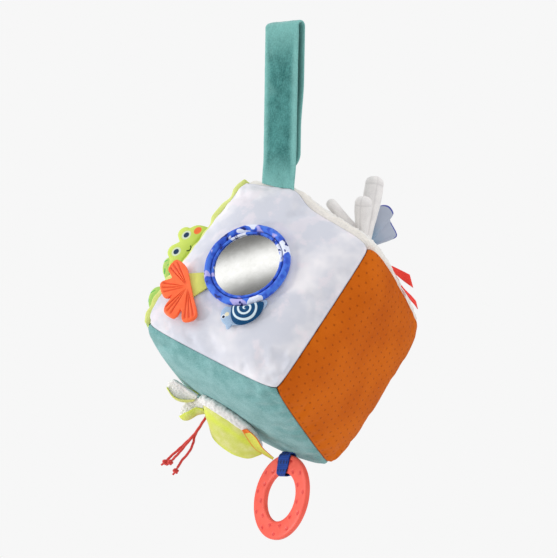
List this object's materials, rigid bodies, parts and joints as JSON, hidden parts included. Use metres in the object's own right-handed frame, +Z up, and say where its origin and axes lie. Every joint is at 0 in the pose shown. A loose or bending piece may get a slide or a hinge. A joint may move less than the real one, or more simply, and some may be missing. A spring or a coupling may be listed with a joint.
{
  "type": "soft fabric activity block",
  "caption": "Hanging soft activity block: a stuffed cube on a folded strap, with a mirror, a teething ring, cords, ribbons and sewn fabric flaps.",
  "frame": {"origin": "middle of the bar that the strap's loop goes over", "axes": "+Z up along the hanging strap, +X across the strap's width, -Y towards the mirror side"},
  "size_m": [0.2039, 0.2205, 0.4329],
  "materials": {
    "strap_velour": "matte",
    "hook_tape": "matte",
    "lavender_print": "matte",
    "orange_mesh": "matte",
    "teal_velour": "matte",
    "lime_cotton": "matte",
    "white_plush": "matte",
    "polyester_fibre": "matte",
    "mirror_film": "polished",
    "backing_sheet": "matte",
    "rim_print": "matte",
    "ribbon_lime": "satin",
    "orange_rubber": "satin",
    "snail_blue": "matte",
    "shell_blue": "matte",
    "frog_green": "matte",
    "leaf_green": "matte",
    "white_fleece": "matte",
    "lime_velour": "matte",
    "red_cord": "matte",
    "yellow_cotton": "matte",
    "blue_ribbon": "satin",
    "coral_plastic": "satin",
    "grey_velour": "matte",
    "wing_satin": "satin",
    "red_ribbon": "satin"
  },
  "bodies": {
    "strap": {"strap": "strap_velour", "loop_patch": "hook_tape"},
    "strap_tail": {"strap_tail": "strap_velour", "hook_patch": "hook_tape"},
    "block": {"front_panel": "lavender_print", "right_panel": "orange_mesh", "left_panel": "lime_cotton", "top_panel": "white_plush", "bottom_panel": "teal_velour", "back_panel": "lavender_print", "fibre_fill": "polyester_fibre", "mirror_backing": "backing_sheet", "mirror_plate": "mirror_film", "mirror_rim": "rim_print", "stamen_cord_left": "red_cord", "stamen_cord_middle": "red_cord", "stamen_cord_right": "red_cord", "stamen_knot_left": "red_cord", "stamen_knot_middle": "red_cord", "stamen_knot_right": "red_cord"},
    "foot": {"foot_ribbon": "ribbon_lime", "webbed_foot": "orange_rubber"},
    "snail": {"snail_body": "snail_blue", "snail_shell": "shell_blue"},
    "frog": {"frog_head": "frog_green"},
    "leaf_near": {"leaf_near": "leaf_green"},
    "leaf_middle": {"leaf_middle": "leaf_green"},
    "leaf_far": {"leaf_far": "leaf_green"},
    "bud_petal": {"bud_petal_fleece": "white_fleece", "bud_petal_lining": "lime_velour"},
    "side_petal": {"side_petal_fleece": "white_fleece", "side_petal_lining": "lime_velour"},
    "wide_petal": {"wide_petal_fleece": "white_fleece", "wide_petal_lining": "lime_velour"},
    "yellow_leaf": {"yellow_leaf": "yellow_cotton"},
    "wing": {"wing_flap": "wing_satin"},
    "limb_left": {"limb_left": "grey_velour"},
    "limb_front": {"limb_front": "grey_velour"},
    "limb_rear": {"limb_rear": "grey_velour"},
    "red_ribbon_upper": {"red_ribbon_upper": "red_ribbon"},
    "red_ribbon_lower": {"red_ribbon_lower": "red_ribbon"},
    "ring_ribbon": {"ring_ribbon": "blue_ribbon"},
    "teething_ring": {"teething_ring": "coral_plastic"}
  },
  "joints": [
    {"name": "tail_peel", "type": "hinge", "parent": "strap", "child": "strap_tail", "pos_m": [0, 0.0052, -0.005], "axis": [1, 0, 0], "range_deg": [0, 150]},
    {"name": "block_swing", "type": "hinge", "parent": "strap", "child": "block", "pos_m": [-0.003, -0.004, -0.134], "axis": [0.892, -0.0065, -0.452], "range_deg": [-30, 30], "stiffness_Nm_per_rad": 0.12, "springref_deg": 18.36},
    {"name": "foot_lift", "type": "hinge", "parent": "block", "child": "foot", "pos_m": [-0.0231, -0.07292, -0.21139], "axis": [-0.4806, 0.2981, 0.8247], "range_deg": [0, 85]},
    {"name": "snail_lift", "type": "hinge", "parent": "block", "child": "snail", "pos_m": [0.01962, -0.07231, -0.23121], "axis": [-0.9111, -0.3929, -0.1245], "range_deg": [0, 85], "stiffness_Nm_per_rad": 0.0005, "springref_deg": 0.19},
    {"name": "frog_fold", "type": "hinge", "parent": "block", "child": "frog", "pos_m": [-0.06944, -0.03776, -0.1886], "axis": [0.2534, 0.5883, 0.768], "range_deg": [-10, 14], "stiffness_Nm_per_rad": 0.003, "springref_deg": 0.25},
    {"name": "leaf_near_fold", "type": "hinge", "parent": "block", "child": "leaf_near", "pos_m": [-0.08057, -0.04274, -0.21073], "axis": [0.2396, 0.5779, 0.7802], "range_deg": [-40, 10], "stiffness_Nm_per_rad": 0.001, "springref_deg": 0.07},
    {"name": "leaf_middle_fold", "type": "hinge", "parent": "block", "child": "leaf_middle", "pos_m": [-0.08219, -0.06669, -0.23212], "axis": [0.112, 0.5204, 0.8466], "range_deg": [-28, 30], "stiffness_Nm_per_rad": 0.001, "springref_deg": 0.03},
    {"name": "leaf_far_fold", "type": "hinge", "parent": "block", "child": "leaf_far", "pos_m": [-0.08253, -0.07563, -0.24857], "axis": [-0.1245, 0.4655, 0.8762], "range_deg": [-30, 40], "stiffness_Nm_per_rad": 0.001, "springref_deg": 0.01},
    {"name": "bud_petal_fold", "type": "hinge", "parent": "block", "child": "bud_petal", "pos_m": [-0.06284, -0.04258, -0.30784], "axis": [0.0726, -0.1321, 0.9886], "range_deg": [-5, 30], "stiffness_Nm_per_rad": 0.002, "springref_deg": -0.03},
    {"name": "side_petal_fold", "type": "hinge", "parent": "block", "child": "side_petal", "pos_m": [-0.05984, -0.03442, -0.31648], "axis": [0.2386, -0.1161, 0.9642], "range_deg": [-20, 25], "stiffness_Nm_per_rad": 0.002, "springref_deg": -0.03},
    {"name": "wide_petal_fold", "type": "hinge", "parent": "block", "child": "wide_petal", "pos_m": [-0.05381, -0.03086, -0.32497], "axis": [-0.3536, -0.0147, -0.9353], "range_deg": [-1, 30], "stiffness_Nm_per_rad": 0.003, "springref_deg": -0.13},
    {"name": "yellow_leaf_fold", "type": "hinge", "parent": "wide_petal", "child": "yellow_leaf", "pos_m": [-0.02219, -0.02224, -0.33604], "axis": [-0.9693, -0.1576, -0.1888], "range_deg": [0, 40], "stiffness_Nm_per_rad": 0.001, "springref_deg": -0.02},
    {"name": "wing_fold", "type": "hinge", "parent": "block", "child": "wing", "pos_m": [0.04515, 0.0519, -0.18339], "axis": [-0.4579, -0.5873, 0.6674], "range_deg": [-8, 45], "stiffness_Nm_per_rad": 0.002, "springref_deg": -0.06},
    {"name": "limb_left_bend", "type": "hinge", "parent": "block", "child": "limb_left", "pos_m": [0.04429, 0.03795, -0.17147], "axis": [-0.894, -0.0663, 0.4432], "range_deg": [-8, 30], "stiffness_Nm_per_rad": 0.003, "springref_deg": 0.1},
    {"name": "limb_front_bend", "type": "hinge", "parent": "block", "child": "limb_front", "pos_m": [0.05027, 0.03883, -0.17368], "axis": [-0.8852, -0.0533, 0.4621], "range_deg": [-35, 5], "stiffness_Nm_per_rad": 0.003, "springref_deg": 0.06},
    {"name": "limb_rear_bend", "type": "hinge", "parent": "block", "child": "limb_rear", "pos_m": [0.05007, 0.04515, -0.17804], "axis": [-0.8828, -0.0491, 0.4672], "range_deg": [-5, 5], "stiffness_Nm_per_rad": 0.004, "springref_deg": -0.38},
    {"name": "red_ribbon_upper_fold", "type": "hinge", "parent": "block", "child": "red_ribbon_upper", "pos_m": [0.06578, 0.05512, -0.19926], "axis": [0.4286, 0.4376, -0.7905], "range_deg": [-45, 45], "stiffness_Nm_per_rad": 0.0005, "springref_deg": -0.01},
    {"name": "red_ribbon_lower_fold", "type": "hinge", "parent": "block", "child": "red_ribbon_lower", "pos_m": [0.06498, 0.06904, -0.21181], "axis": [0.575, 0.1533, -0.8037], "range_deg": [-10, 60], "stiffness_Nm_per_rad": 0.0005, "springref_deg": 0.01},
    {"name": "ring_ribbon_swing", "type": "hinge", "parent": "block", "child": "ring_ribbon", "pos_m": [-0.00348, 0.00836, -0.35535], "axis": [-0.9772, 0.2022, -0.0652], "range_deg": [-20, 35], "stiffness_Nm_per_rad": 0.006, "springref_deg": 2.81},
    {"name": "ring_turn", "type": "hinge", "parent": "ring_ribbon", "child": "teething_ring", "pos_m": [-0.00297, -0.00118, -0.39264], "axis": [-0.212, -0.9475, 0.2394], "continuous": true}
  ]
}
